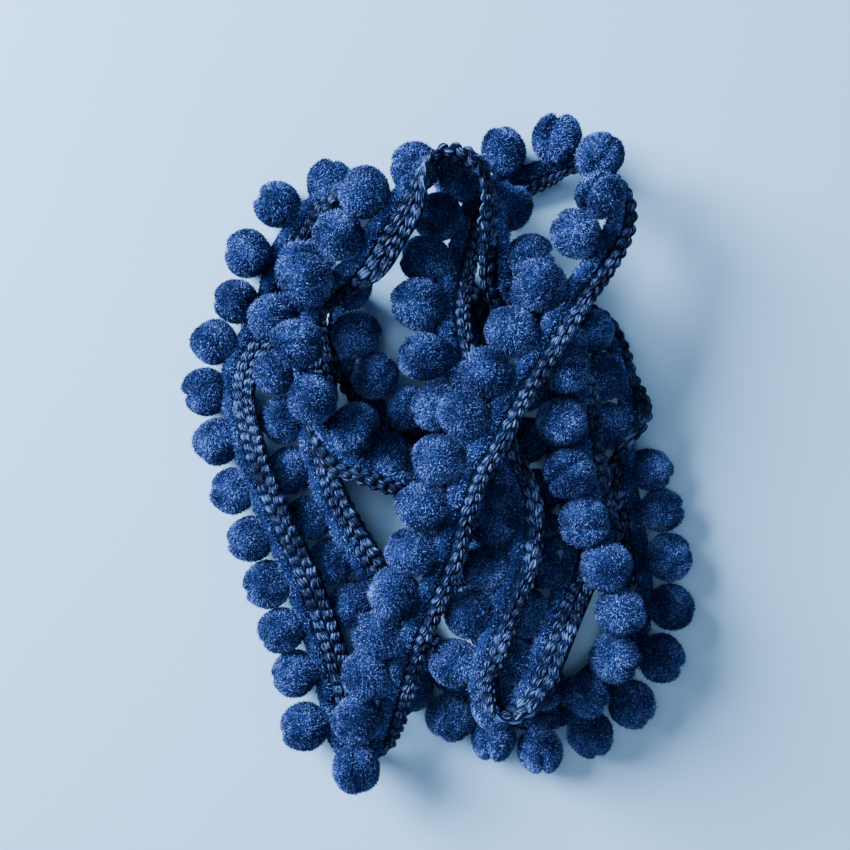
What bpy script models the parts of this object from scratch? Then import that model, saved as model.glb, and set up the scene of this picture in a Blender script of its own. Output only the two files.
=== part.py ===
# A pompom trim, lying in a loose back-and-forth bundle on a flat surface.
#
# The trim is one long chain-stitched tape. A fuzzy chenille edge runs along one side of it, and pompoms are
# rooted in that edge. The line of the chenille edge is the route, and everything else is placed from it.
# Sizes are in millimetres, and MM turns them into metres where the meshes are made.

import math

import bmesh
import bpy
import numpy as np

MM = 0.001
GAP = 0.3

# Pompoms
POMPOM_OUT = 4.6
POMPOM_ACROSS = 5.6
POMPOM_ALONG = 5.3
POMPOM_DEEP = 5.4
POMPOM_MERIDIANS = 8
POMPOM_RINGS = 5
FLAT_SPOT = 1.7

# Chenille edge, a strip of diamond section
EDGE_HALF = 1.55

# Chain-stitched tape, from the chenille edge outwards
TAPE_START = EDGE_HALF + GAP
TAPE_WIDE = 6.5
TAPE_THICK = 2.2
TAPE_VALLEY = 1.5
# The same tape folded lengthways into a rope, with a thin neck beside the chenille edge
NECK_WIDE = 1.5
NECK_THICK = 1.2
ROPE_WIDE = 3.2
ROPE_THICK = 3.0

# Route
STATION_STEP = 2.5
RING_STEP = 7.2
RING_TURN = 18.0

# Easing apart of stretches that would touch
EASE_ROUNDS = 260
EASE_SETTLE = 25
EASE_GAP = 0.5
EASE_GIVE = np.array([0.25, 0.25, 1.0])
SAME_STRETCH = 16.0
# Balls that stand for the section: how far out from the chenille edge and radius, open and then folded
SECTION_BALLS = (
    (POMPOM_OUT, 5.75, POMPOM_OUT, 5.75), (0.0, 1.95, 0.0, 1.95), (-3.1, 1.5, -2.9, 1.2),
    (-5.2, 1.5, -4.3, 1.75), (-7.1, 1.5, -5.3, 1.75),
)

# The passes of the bundle, in order along the trim: name, pitch of the pompoms, fold, and rows of
# x, y, height of the chenille edge, and lean. The fold is 0 where the tape lies open and 1 where it is
# folded into a rope. The lean is the angle of the pompoms about the way ahead: 0 lies level to its left,
# 90 stands up, 180 lies level to its right and 270 hangs down.
PASSES = (
    ("left_side", 11.4, 0, (
        (-15, 55, 10, 622), (-24, 52.5, 8, 582), (-29.6, 46.9, 5, 540), (-33.6, 38.5, 4.5, 528),
        (-34.4, 28, 4.5, 528), (-37, 18.5, 6, 545), (-39.6, 7.5, 8, 563), (-39.2, -6, 8.4, 570),
        (-36.4, -18.5, 8.3, 570), (-32.4, -30, 7.5, 563), (-28.4, -42, 6, 552), (-25, -54, 5.5, 548),
    )),
    ("left_tip", 12.6, 0.3, (
        (-23.4, -63, 5.5, 544), (-22.4, -69.5, 6.5, 534), (-20.4, -74.6, 8, 505), (-16.6, -77.6, 9, 465),
        (-12.6, -76, 10, 428),
    )),
    ("long_top_low", 11, 1, (
        (-10.8, -69.5, 12, 386), (-8.1, -59.6, 16, 362), (-4.6, -48.6, 20.5, 352), (-1.1, -38, 24.5, 350),
        (2.6, -28.2, 27.5, 350),
    )),
    ("long_top_high", 10.2, 1, (
        (4.7, -18.6, 29, 350), (7.7, -9.3, 29, 350), (12.6, -0.4, 29, 350), (16.9, 7.8, 29, 350),
        (22.8, 17.1, 29, 350),
    )),
    ("right_bend", 13.3, 1, (
        (28.8, 27.2, 29, 353), (36, 37.2, 28, 368), (40.4, 44.5, 26, 388), (41.6, 51.4, 23, 412),
        (39.4, 57.4, 18.5, 445),
    )),
    ("right_turn", 11.8, 1, (
        (35, 61.2, 13, 475), (30, 61.7, 8, 502), (25, 60.5, 5.5, 516), (19, 58.8, 5, 518),
    )),
    ("middle_top", 10.5, 1, (
        (12.2, 55.2, 8, 512), (8, 46.5, 13, 520), (5.4, 35.6, 16, 535), (3.2, 24.9, 19, 535),
        (4.4, 14.5, 18, 540), (7, 4.3, 16, 545),
    )),
    ("middle_low", 10.8, 1, (
        (12.2, -3.6, 16, 552), (17, -11, 17, 562), (20.4, -19.5, 18, 567), (20.2, -29, 18.5, 570),
        (17.6, -38.5, 18.5, 572), (14.8, -47.5, 18.5, 576), (12.9, -54.8, 18, 588),
    )),
    ("fold_up", 11.7, 0, (
        (14.2, -60.4, 17.5, 608), (17.7, -62.6, 16.5, 630), (21.2, -60.2, 15.5, 650), (23.6, -54.7, 13, 672),
        (26.4, -47.2, 12, 682), (30, -38.6, 10.5, 694),
    )),
    ("under_right", 11.8, 0, (
        (34, -30, 6, 715), (34, -20, 4.6, 730), (31, -9.5, 4.6, 735), (28.6, 1, 5, 737),
        (28, 8.5, 8, 750), (28.6, 14.5, 12, 778),
    )),
    ("right_inner", 10.9, 0.4, (
        (31, 18.4, 16, 808), (33.9, 16.4, 19, 832), (34, 10, 20, 850), (34, 1, 20, 860),
        (35.4, -9, 20, 860), (38, -20, 19, 850), (41, -29, 18, 835), (42.8, -38.8, 17, 815),
        (42.5, -49, 15, 810), (38.4, -58.6, 12.5, 808), (31, -63, 11, 806),
    )),
    ("under_middle", 11.5, 0, (
        (24.2, -60.8, 8, 822), (19.4, -53.7, 6, 855), (15.3, -44.8, 4.6, 880), (12, -34.2, 4.6, 885),
        (9.7, -23.6, 4.6, 885), (5.4, -15.6, 7, 905),
    )),
    ("inner_low", 11.3, 1, (
        (-0.5, -11.2, 11, 935), (-6.4, -9, 11.5, 950), (-13, -6.4, 11.5, 945), (-18.6, -2.4, 13, 890),
    )),
    ("inner_left", 12.8, 1, (
        (-23.8, 4, 16, 835), (-26.5, 11.2, 18, 818), (-26.6, 19.5, 19, 805), (-23, 28.5, 20, 780),
        (-18, 34, 22, 745),
    )),
    ("hoop", 11.1, 0, (
        (-14.4, 37.4, 25, 728), (-10.7, 43.6, 28, 722), (-6.2, 49.6, 29, 700), (-0.2, 55.5, 30, 640),
        (6.8, 56.3, 30, 620), (12.8, 52, 29, 632), (16.4, 45, 27, 668),
    )),
    ("right_top", 12.3, 1, (
        (17.6, 38, 24, 702), (18.2, 31.6, 19, 736), (21.5, 26.4, 14, 768), (27.5, 25.8, 11, 797),
        (34, 27.5, 9, 815), (39.6, 23.5, 8, 845), (42.6, 16.9, 8.5, 855), (44.4, 8.3, 8.5, 868),
        (45.6, 0, 10, 950), (46, -6.5, 9.5, 1030),
    )),
    ("right_side", 10.7, 0, (
        (47, -14, 6, 1068), (49.8, -24.7, 4.4, 1095), (51.9, -36.5, 4.4, 1095), (51.4, -48.3, 4.4, 1095),
    )),
    ("bottom", 10.4, 0, (
        (47.4, -57.7, 4.4, 1095), (39.3, -64, 4.4, 1095), (29.5, -67, 4.4, 1095), (18.8, -65.8, 4.4, 1095),
        (8.7, -62.4, 4.4, 1095), (0, -57.2, 4.5, 1093),
    )),
    ("left_inner", 11.3, 0, (
        (-7, -50.2, 5, 1085), (-13.4, -40.5, 6, 1065), (-18.9, -30.4, 8, 1050), (-24.6, -20.4, 8.4, 1047),
        (-29, -10.5, 8.4, 1047), (-31.5, -1.2, 8, 1052), (-33, 9.4, 6, 1070), (-34, 19, 5.5, 1090),
        (-33, 28, 7, 1118),
    )),
    ("inner_top", 12.2, 1, (
        (-29.8, 34.6, 8.8, 1146), (-24.8, 36.8, 9.3, 1160), (-21.8, 31, 10.5, 1156), (-22, 23.5, 12, 1144),
        (-20.4, 15, 14.5, 1130), (-15, 6.5, 14.5, 1125), (-8, 0.5, 14, 1124), (-3.6, -1.6, 12.5, 1128),
    )),
    ("under_top", 14, 0.6, (
        (1.2, -1.2, 9.5, 1128), (5.8, 2.2, 6.5, 1116), (8.8, 9, 4.8, 1102), (9.8, 17, 4.5, 1096),
        (8.6, 25, 4.5, 1095), (4.2, 31.6, 4.5, 1095), (-2.6, 34.8, 4.5, 1095),
    )),
)


def clear_scene():
    for item in list(bpy.data.objects):
        bpy.data.objects.remove(item, do_unlink=True)


# Route


def smooth_row(rows, share):
    """The row at share of the way from rows[1] to rows[2], on a smooth curve through all four rows."""
    before, start, end, after = rows
    return 0.5 * (
        2 * start
        + (end - before) * share
        + (2 * before - 5 * start + 4 * end - after) * share**2
        + (3 * start - before - 3 * end + after) * share**3
    )


def lengths_along(points):
    """The length along a line of points, from its first point to each."""
    return np.concatenate([[0.0], np.cumsum(np.linalg.norm(np.diff(points, axis=0), axis=1))])


def plan_stations():
    """Evenly spaced rows of x, y, height, lean, pitch, fold and pass along the trim, and their plan lengths."""
    rows = np.array(
        [
            row + (pitch, fold, number)
            for number, (_, pitch, fold, table) in enumerate(PASSES)
            for row in table
        ],
        float,
    )
    padded = np.vstack([2 * rows[0] - rows[1], rows, 2 * rows[-1] - rows[-2]])
    fine = [
        smooth_row(padded[first : first + 4], share)
        for first in range(len(rows) - 1)
        for share in np.arange(0, 1, 0.05)
    ]
    fine = np.array(fine + [rows[-1]])
    length = lengths_along(fine[:, :2])
    even = np.linspace(0, length[-1], round(length[-1] / STATION_STEP) + 1)
    return np.column_stack([np.interp(even, length, column) for column in fine.T]), even


def outward(places, lean):
    """The unit direction from the tape to the pompoms at each station."""
    ahead = np.gradient(places[:, :2], axis=0)
    ahead /= np.linalg.norm(ahead, axis=1)[:, None]
    left = np.column_stack([-ahead[:, 1], ahead[:, 0], np.zeros(len(ahead))])
    angle = np.radians(lean)[:, None]
    return left * np.cos(angle) + np.array([0.0, 0.0, 1.0]) * np.sin(angle)


def neighbour_mean(values):
    """The mean of each row and its two neighbours."""
    padded = np.pad(values, ((1, 1), (0, 0)), mode="edge")
    return (padded[:-2] + padded[1:-1] + padded[2:]) / 3


def near_pairs(balls, radii, arc, margin):
    """The pairs of balls on separate stretches that lie within margin of touching."""
    distance = np.linalg.norm(balls[:, None] - balls[None, :], axis=2)
    near = distance < radii[:, None] + radii[None, :] + margin
    near &= np.abs(arc[:, None] - arc[None, :]) > SAME_STRETCH
    return np.nonzero(np.triu(near))


def eased_route(stations, arc):
    """The places of the chenille edge, eased apart where two stretches would touch, and its outward direction."""
    direction = outward(stations, stations[:, 3])
    count = len(stations)
    start = stations[:, :3]
    places = start.copy()
    fold = stations[:, 5].clip(0.0, 1.0)
    balls = np.array(SECTION_BALLS)[:, :, None]
    reaches = balls[:, 0] + fold * (balls[:, 2] - balls[:, 0])
    sizes = balls[:, 1] + fold * (balls[:, 3] - balls[:, 1])
    out, radii = reaches.ravel(), sizes.ravel()
    owner = np.tile(np.arange(count), len(SECTION_BALLS))
    lowest = np.max(sizes - 0.15 - reaches * direction[:, 2], axis=0)
    for turn in range(EASE_ROUNDS):
        balls = places[owner] + out[:, None] * direction[owner]
        if turn % 10 == 0:
            first, second = near_pairs(balls, radii, arc[owner], 3.0)
        between = balls[first] - balls[second]
        distance = np.maximum(np.linalg.norm(between, axis=1), 1e-6)
        short = radii[first] + radii[second] + EASE_GAP - distance
        touching = short > 0
        push = (between / distance[:, None] * EASE_GIVE)[touching] * (0.5 * short[touching])[:, None]
        move = np.zeros((count, 3))
        pushes = np.zeros(count)
        for side, way in ((first, 1), (second, -1)):
            np.add.at(move, owner[side[touching]], way * push)
            np.add.at(pushes, owner[side[touching]], 1)
        move /= np.maximum(pushes, 1)[:, None] ** 0.7
        places += 1.4 * neighbour_mean(move)
        if turn < EASE_ROUNDS - EASE_SETTLE:
            places = start + 0.998 * neighbour_mean(places - start)
        places[:, 2] = np.maximum(places[:, 2], lowest)
    return places, direction


class Route:
    """The settled line of the chenille edge: places, outward directions, and sideways directions."""

    def __init__(self):
        stations, arc = plan_stations()
        self.places, self.out = eased_route(stations, arc)
        ahead = np.gradient(self.places, axis=0)
        self.ahead = ahead / np.linalg.norm(ahead, axis=1)[:, None]
        across = np.cross(self.ahead, self.out)
        self.up = across / np.linalg.norm(across, axis=1)[:, None]
        self.length = lengths_along(self.places)
        pitch = stations[:, 4]
        steps = np.diff(self.length) * 2 / (pitch[1:] + pitch[:-1])
        self.phase = np.concatenate([[0.0], np.cumsum(steps)])
        self.fold = stations[:, 5].clip(0.0, 1.0)
        self.passes = stations[:, 6]
        self.rings = self.ring_stations()

    def read(self, lengths):
        """Place, ahead, out and up at lengths along the trim."""
        found = []
        for values in (self.places, self.ahead, self.out, self.up):
            found.append(np.column_stack([np.interp(lengths, self.length, column) for column in values.T]))
        place, *directions = found
        return [place] + [way / np.linalg.norm(way, axis=1)[:, None] for way in directions]

    def pompom_lengths(self):
        """Where along the trim each pompom is rooted."""
        count = int(self.phase[-1])
        return np.interp(np.arange(count) + 0.5, self.phase, self.length)

    def ring_stations(self):
        """The stations that carry a ring of the meshes: close together only where the trim turns or twists."""
        last = 0
        kept = [0]
        for index in range(1, len(self.length) - 1):
            turned = max(
                math.degrees(math.acos(min(1.0, float(ways[last] @ ways[index])))) for ways in (self.ahead, self.out)
            )
            if turned >= RING_TURN or self.length[index] - self.length[last] >= RING_STEP:
                kept.append(index)
                last = index
        return kept + [len(self.length) - 1]

    def section_rings(self, start, end, profile, folded=None):
        """The profile, pairs of outward and upward distance, set at each ring from start to end of a length."""
        ringed = self.length[self.rings]
        inside = (ringed > start + 0.8) & (ringed < end - 0.8)
        lengths = np.concatenate([[start], ringed[inside], [end]])
        place, out, up = [
            np.column_stack([np.interp(lengths, ringed, column) for column in values[self.rings].T])
            for values in (self.places, self.out, self.up)
        ]
        fold = np.interp(lengths, ringed, self.fold[self.rings])
        profile = np.array(profile)
        folded = profile if folded is None else np.array(folded)
        sections = profile + fold[:, None, None] * (folded - profile)
        return [
            [place[row] + reach * out[row] + rise * up[row] for reach, rise in sections[row]]
            for row in range(len(lengths))
        ]


# Meshes


def new_object(name, mesh, collection):
    item = bpy.data.objects.new(name, mesh)
    collection.objects.link(item)
    return item


def mesh_from(bm, name):
    bmesh.ops.recalc_face_normals(bm, faces=bm.faces)
    mesh = bpy.data.meshes.new(name)
    bm.to_mesh(mesh)
    bm.free()
    return mesh


def lofted(name, rings):
    """A closed mesh through rings of equal size, with flat ends."""
    bm = bmesh.new()
    rows = [[bm.verts.new(tuple(point * MM)) for point in ring] for ring in rings]
    size = len(rows[0])
    for near, far in zip(rows, rows[1:]):
        for corner in range(size):
            following = (corner + 1) % size
            bm.faces.new((near[corner], near[following], far[following], far[corner]))
    bm.faces.new(rows[0])
    bm.faces.new(rows[-1])
    bmesh.ops.triangulate(bm, faces=bm.faces)
    return mesh_from(bm, name)


def both_faces(upper):
    """The whole section from the points of its upper face, the last of them on the far edge."""
    return upper + [(reach, -rise) for reach, rise in upper[-2::-1]]


def tape_profile():
    """Section of the open tape: two ribs of chain stitch on each face, with a valley between them."""
    return both_faces([
        (-TAPE_START, TAPE_VALLEY / 2),
        (-TAPE_START - 0.27 * TAPE_WIDE, TAPE_THICK / 2),
        (-TAPE_START - 0.5 * TAPE_WIDE, TAPE_VALLEY / 2),
        (-TAPE_START - 0.77 * TAPE_WIDE, TAPE_THICK / 2),
        (-TAPE_START - TAPE_WIDE, 0.0),
    ])


def rope_profile():
    """Section of the tape where it is folded into a rope, beside its thin neck."""
    neck_end = -TAPE_START - NECK_WIDE
    return both_faces([
        (-TAPE_START, NECK_THICK / 2),
        (neck_end, NECK_THICK / 2),
        (neck_end - 0.2 * ROPE_WIDE, 0.4 * ROPE_THICK),
        (neck_end - 0.6 * ROPE_WIDE, ROPE_THICK / 2),
        (neck_end - ROPE_WIDE, 0.0),
    ])


def pompom(bm, centre, size, ahead, out, up):
    """One pompom in bm, oval across the trim, with a small flat where it rests on the surface."""
    made = bmesh.ops.create_uvsphere(
        bm, u_segments=POMPOM_MERIDIANS, v_segments=POMPOM_RINGS, radius=1.0
    )["verts"]
    half_turn = math.pi / POMPOM_MERIDIANS
    for vert in made:
        x, y, z = vert.co
        along = x * math.cos(half_turn) - y * math.sin(half_turn)
        deep = x * math.sin(half_turn) + y * math.cos(half_turn)
        point = centre + size[0] * along * ahead + size[1] * z * out + size[2] * deep * up
        if point[2] < FLAT_SPOT:
            point[2] = 0.0
        vert.co = point * MM


def pompom_sizes(centres, ahead, out, up):
    """Half the size of each pompom along, across and through the trim, less where its neighbour crowds it."""
    sizes = np.tile([POMPOM_ALONG, POMPOM_ACROSS, POMPOM_DEEP], (len(centres), 1))
    for index in range(len(centres) - 1):
        between = centres[index + 1] - centres[index]
        room = np.linalg.norm(between) - GAP
        way = between / np.linalg.norm(between)
        pair = slice(index, index + 2)
        sizes[pair, 0] = np.minimum(sizes[pair, 0], room / 2)
        facing = np.stack([ahead[pair] @ way, out[pair] @ way, up[pair] @ way], axis=1)
        reach = np.linalg.norm(sizes[pair] * facing, axis=1).sum()
        sizes[pair] *= min(1.0, room / reach)
    return sizes


def pompom_row(route, name, number, parts, cutters, material):
    """One pass of pompoms, fused to their strip of chenille edge."""
    rooted = route.pompom_lengths()
    which = np.interp(rooted, route.length, route.passes)
    place, ahead, out, up = route.read(rooted)
    centres = place + POMPOM_OUT * out
    sizes = pompom_sizes(centres, ahead, out, up)
    mine = np.nonzero(np.round(which) == number)[0]
    first, last = mine[0], mine[-1]
    start = (rooted[first - 1] + rooted[first]) / 2 + GAP / 2 if first else GAP
    end = (
        (rooted[last] + rooted[last + 1]) / 2 - GAP / 2
        if last + 1 < len(rooted)
        else route.length[-1] - GAP
    )
    profile = [(EDGE_HALF, 0.0), (0.0, EDGE_HALF), (-EDGE_HALF, 0.0), (0.0, -EDGE_HALF)]
    rings = route.section_rings(start, end, profile)
    strip = new_object(name, lofted(name, rings), parts)
    strip.data.materials.append(material)
    bm = bmesh.new()
    for index in mine:
        pompom(bm, centres[index], sizes[index], ahead[index], out[index], up[index])
    bmesh.ops.triangulate(bm, faces=bm.faces)
    balls = new_object(name + "_balls", mesh_from(bm, name + "_balls"), cutters)
    balls.data.materials.append(material)
    balls.hide_render = True
    balls.display_type = "WIRE"
    union = strip.modifiers.new("pompoms", "BOOLEAN")
    union.operation = "UNION"
    union.object = balls
    union.solver = "EXACT"
    return strip


def tape(route, parts, material):
    """The chain-stitched tape, in one piece from cut end to cut end."""
    rings = route.section_rings(0.0, route.length[-1], tape_profile(), rope_profile())
    item = new_object("tape", lofted("tape", rings), parts)
    item.data.materials.append(material)
    return item


def yarn(name, colour, roughness):
    material = bpy.data.materials.new(name)
    material.use_nodes = True
    shader = material.node_tree.nodes["Principled BSDF"]
    shader.inputs["Base Color"].default_value = (*colour, 1.0)
    shader.inputs["Roughness"].default_value = roughness
    shader.inputs["Metallic"].default_value = 0.0
    return material


def centred(items):
    """Moves every mesh so that the bundle's box is centred over the origin."""
    points = np.array([vert.co for item in items for vert in item.data.vertices])
    middle = (points.min(axis=0) + points.max(axis=0)) / 2
    for item in items:
        for vert in item.data.vertices:
            vert.co.x -= middle[0]
            vert.co.y -= middle[1]


def main():
    clear_scene()
    parts = bpy.data.collections.new("pompom_trim")
    cutters = bpy.data.collections.new("cutters")
    bpy.context.scene.collection.children.link(parts)
    bpy.context.scene.collection.children.link(cutters)
    route = Route()
    tape(route, parts, yarn("tape_yarn", (0.014, 0.045, 0.16), 0.6))
    pile = yarn("pompom_pile", (0.012, 0.04, 0.15), 0.95)
    for number, (name, _, _, _) in enumerate(PASSES):
        pompom_row(route, "pompoms_" + name, number, parts, cutters, pile)
    centred([item for item in bpy.data.objects if item.type == "MESH"])


main()
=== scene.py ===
# The looks of the pompom trim: chain-stitched tape, chenille edge and cut-pile pompoms.
#
# The route of the trim is worked out here as it is for the solids, from the same sizes and table, and set on
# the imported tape. Sizes are in millimetres, and MM turns them into metres where the meshes are made. The
# stage is in metres.

import math

import bmesh
import bpy
import numpy as np
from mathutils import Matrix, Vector

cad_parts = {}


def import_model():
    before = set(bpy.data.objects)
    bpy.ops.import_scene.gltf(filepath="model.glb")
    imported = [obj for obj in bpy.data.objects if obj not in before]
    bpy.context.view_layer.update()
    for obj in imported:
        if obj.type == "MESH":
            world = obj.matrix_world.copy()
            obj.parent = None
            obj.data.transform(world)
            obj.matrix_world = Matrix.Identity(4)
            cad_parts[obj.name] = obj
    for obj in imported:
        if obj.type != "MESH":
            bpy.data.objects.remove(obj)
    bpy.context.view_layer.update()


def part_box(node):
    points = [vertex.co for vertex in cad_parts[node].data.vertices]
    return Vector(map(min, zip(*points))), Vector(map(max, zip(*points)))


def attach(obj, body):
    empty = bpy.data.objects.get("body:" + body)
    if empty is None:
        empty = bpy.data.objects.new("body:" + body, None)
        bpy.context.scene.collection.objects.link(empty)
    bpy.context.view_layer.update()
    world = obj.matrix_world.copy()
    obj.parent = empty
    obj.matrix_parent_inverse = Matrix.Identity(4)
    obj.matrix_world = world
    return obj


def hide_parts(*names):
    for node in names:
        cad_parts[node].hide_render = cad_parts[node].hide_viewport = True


MM = 0.001

# Solids

# The gap between two nodes
GAP = 0.3

# Pompoms: their middle from that of the chenille edge, and half their size
POMPOM_OUT = 4.6
POMPOM_ACROSS = 5.6
POMPOM_ALONG = 5.3
POMPOM_DEEP = 5.4

# Half the width of the chenille edge
EDGE_HALF = 1.55

# Chain-stitched tape, from the chenille edge outwards, and shares of its width at its ribs and valley
TAPE_START = EDGE_HALF + GAP
TAPE_WIDE = 6.5
TAPE_THICK = 2.2
TAPE_VALLEY = 1.5
TAPE_RIBS = (0.27, 0.5, 0.77)
# The same tape folded lengthways into a rope, with a thin neck beside the chenille edge
NECK_WIDE = 1.5
NECK_THICK = 1.2
ROPE_WIDE = 3.2
ROPE_THICK = 3.0
# Share of the rope's width and of its thickness at its shoulder, and share of its width at its crown
ROPE_SHOULDER = (0.2, 0.4)
ROPE_CROWN = 0.6

# Route: the share of a row's reach between two points of its curve, the distance between its stations, and
# the distance and the turn, in degrees, that call for a ring of the solids
CURVE_STEP = 0.05
STATION_STEP = 2.5
RING_STEP = 7.2
RING_TURN = 18.0

# Easing apart of stretches that would touch, and how freely they give way along x, y and z
EASE_ROUNDS = 260
EASE_SETTLE = 25
EASE_GAP = 0.5
EASE_GIVE = np.array([0.25, 0.25, 1.0])
SAME_STRETCH = 16.0
# Rounds between two searches for near pairs, and how near a pair counts
SEARCH_ROUNDS = 10
SEARCH_MARGIN = 3.0
# How far the balls below may sink under the floor
SINK = 0.15
# How strongly each round pushes, how a push is shared where a station has several, and what is kept of it
PUSH = 1.4
PUSH_SHARING = 0.7
PUSH_KEPT = 0.998
# Balls that stand for the section: how far out from the chenille edge and radius, open and then folded
SECTION_BALLS = (
    (POMPOM_OUT, 5.75, POMPOM_OUT, 5.75), (0.0, 1.95, 0.0, 1.95), (-3.1, 1.5, -2.9, 1.2),
    (-5.2, 1.5, -4.3, 1.75), (-7.1, 1.5, -5.3, 1.75),
)

# The passes of the bundle, in order along the trim: name, pitch of the pompoms, fold, and rows of
# x, y, height of the chenille edge, and lean. The fold is 0 where the tape lies open and 1 where it is
# folded into a rope. The lean is the angle of the pompoms about the way ahead: 0 lies level to its left,
# 90 stands up, 180 lies level to its right and 270 hangs down. It is counted on past 360, so that it
# changes evenly from row to row.
PASSES = (
    ("left_side", 11.4, 0, (
        (-15, 55, 10, 622), (-24, 52.5, 8, 582), (-29.6, 46.9, 5, 540), (-33.6, 38.5, 4.5, 528),
        (-34.4, 28, 4.5, 528), (-37, 18.5, 6, 545), (-39.6, 7.5, 8, 563), (-39.2, -6, 8.4, 570),
        (-36.4, -18.5, 8.3, 570), (-32.4, -30, 7.5, 563), (-28.4, -42, 6, 552), (-25, -54, 5.5, 548),
    )),
    ("left_tip", 12.6, 0.3, (
        (-23.4, -63, 5.5, 544), (-22.4, -69.5, 6.5, 534), (-20.4, -74.6, 8, 505), (-16.6, -77.6, 9, 465),
        (-12.6, -76, 10, 428),
    )),
    ("long_top_low", 11, 1, (
        (-10.8, -69.5, 12, 386), (-8.1, -59.6, 16, 362), (-4.6, -48.6, 20.5, 352), (-1.1, -38, 24.5, 350),
        (2.6, -28.2, 27.5, 350),
    )),
    ("long_top_high", 10.2, 1, (
        (4.7, -18.6, 29, 350), (7.7, -9.3, 29, 350), (12.6, -0.4, 29, 350), (16.9, 7.8, 29, 350),
        (22.8, 17.1, 29, 350),
    )),
    ("right_bend", 13.3, 1, (
        (28.8, 27.2, 29, 353), (36, 37.2, 28, 368), (40.4, 44.5, 26, 388), (41.6, 51.4, 23, 412),
        (39.4, 57.4, 18.5, 445),
    )),
    ("right_turn", 11.8, 1, (
        (35, 61.2, 13, 475), (30, 61.7, 8, 502), (25, 60.5, 5.5, 516), (19, 58.8, 5, 518),
    )),
    ("middle_top", 10.5, 1, (
        (12.2, 55.2, 8, 512), (8, 46.5, 13, 520), (5.4, 35.6, 16, 535), (3.2, 24.9, 19, 535),
        (4.4, 14.5, 18, 540), (7, 4.3, 16, 545),
    )),
    ("middle_low", 10.8, 1, (
        (12.2, -3.6, 16, 552), (17, -11, 17, 562), (20.4, -19.5, 18, 567), (20.2, -29, 18.5, 570),
        (17.6, -38.5, 18.5, 572), (14.8, -47.5, 18.5, 576), (12.9, -54.8, 18, 588),
    )),
    ("fold_up", 11.7, 0, (
        (14.2, -60.4, 17.5, 608), (17.7, -62.6, 16.5, 630), (21.2, -60.2, 15.5, 650), (23.6, -54.7, 13, 672),
        (26.4, -47.2, 12, 682), (30, -38.6, 10.5, 694),
    )),
    ("under_right", 11.8, 0, (
        (34, -30, 6, 715), (34, -20, 4.6, 730), (31, -9.5, 4.6, 735), (28.6, 1, 5, 737),
        (28, 8.5, 8, 750), (28.6, 14.5, 12, 778),
    )),
    ("right_inner", 10.9, 0.4, (
        (31, 18.4, 16, 808), (33.9, 16.4, 19, 832), (34, 10, 20, 850), (34, 1, 20, 860),
        (35.4, -9, 20, 860), (38, -20, 19, 850), (41, -29, 18, 835), (42.8, -38.8, 17, 815),
        (42.5, -49, 15, 810), (38.4, -58.6, 12.5, 808), (31, -63, 11, 806),
    )),
    ("under_middle", 11.5, 0, (
        (24.2, -60.8, 8, 822), (19.4, -53.7, 6, 855), (15.3, -44.8, 4.6, 880), (12, -34.2, 4.6, 885),
        (9.7, -23.6, 4.6, 885), (5.4, -15.6, 7, 905),
    )),
    ("inner_low", 11.3, 1, (
        (-0.5, -11.2, 11, 935), (-6.4, -9, 11.5, 950), (-13, -6.4, 11.5, 945), (-18.6, -2.4, 13, 890),
    )),
    ("inner_left", 12.8, 1, (
        (-23.8, 4, 16, 835), (-26.5, 11.2, 18, 818), (-26.6, 19.5, 19, 805), (-23, 28.5, 20, 780),
        (-18, 34, 22, 745),
    )),
    ("hoop", 11.1, 0, (
        (-14.4, 37.4, 25, 728), (-10.7, 43.6, 28, 722), (-6.2, 49.6, 29, 700), (-0.2, 55.5, 30, 640),
        (6.8, 56.3, 30, 620), (12.8, 52, 29, 632), (16.4, 45, 27, 668),
    )),
    ("right_top", 12.3, 1, (
        (17.6, 38, 24, 702), (18.2, 31.6, 19, 736), (21.5, 26.4, 14, 768), (27.5, 25.8, 11, 797),
        (34, 27.5, 9, 815), (39.6, 23.5, 8, 845), (42.6, 16.9, 8.5, 855), (44.4, 8.3, 8.5, 868),
        (45.6, 0, 10, 950), (46, -6.5, 9.5, 1030),
    )),
    ("right_side", 10.7, 0, (
        (47, -14, 6, 1068), (49.8, -24.7, 4.4, 1095), (51.9, -36.5, 4.4, 1095), (51.4, -48.3, 4.4, 1095),
    )),
    ("bottom", 10.4, 0, (
        (47.4, -57.7, 4.4, 1095), (39.3, -64, 4.4, 1095), (29.5, -67, 4.4, 1095), (18.8, -65.8, 4.4, 1095),
        (8.7, -62.4, 4.4, 1095), (0, -57.2, 4.5, 1093),
    )),
    ("left_inner", 11.3, 0, (
        (-7, -50.2, 5, 1085), (-13.4, -40.5, 6, 1065), (-18.9, -30.4, 8, 1050), (-24.6, -20.4, 8.4, 1047),
        (-29, -10.5, 8.4, 1047), (-31.5, -1.2, 8, 1052), (-33, 9.4, 6, 1070), (-34, 19, 5.5, 1090),
        (-33, 28, 7, 1118),
    )),
    ("inner_top", 12.2, 1, (
        (-29.8, 34.6, 8.8, 1146), (-24.8, 36.8, 9.3, 1160), (-21.8, 31, 10.5, 1156), (-22, 23.5, 12, 1144),
        (-20.4, 15, 14.5, 1130), (-15, 6.5, 14.5, 1125), (-8, 0.5, 14, 1124), (-3.6, -1.6, 12.5, 1128),
    )),
    ("under_top", 14, 0.6, (
        (1.2, -1.2, 9.5, 1128), (5.8, 2.2, 6.5, 1116), (8.8, 9, 4.8, 1102), (9.8, 17, 4.5, 1096),
        (8.6, 25, 4.5, 1095), (4.2, 31.6, 4.5, 1095), (-2.6, 34.8, 4.5, 1095),
    )),
)


# Route


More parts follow.
